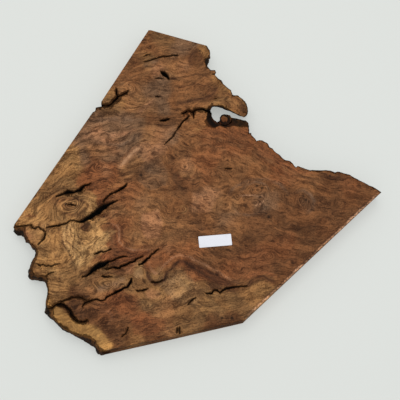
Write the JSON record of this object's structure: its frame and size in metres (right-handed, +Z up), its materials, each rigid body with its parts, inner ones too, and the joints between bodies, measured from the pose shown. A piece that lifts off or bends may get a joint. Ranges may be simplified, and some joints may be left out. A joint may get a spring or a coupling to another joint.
{
  "type": "walnut root carving block",
  "caption": "Flat irregular slab of walnut root burl with sawn edges, ragged live edges, drying cracks and a blank paper label, for carving.",
  "frame": {"origin": "middle of the block's bounding box, at the underside it lies on", "axes": "+Z up out of the sawn top face, +X toward the pointed tip, +Y toward the narrow sawn end"},
  "size_m": [0.4329, 0.396, 0.0255],
  "materials": {
    "walnut_burl": "sawn and rough sanded, unfinished",
    "label_paper": "matt white paper"
  },
  "bodies": {
    "root": {"walnut_block": "walnut_burl", "paper_label": "label_paper"}
  },
  "joints": []
}
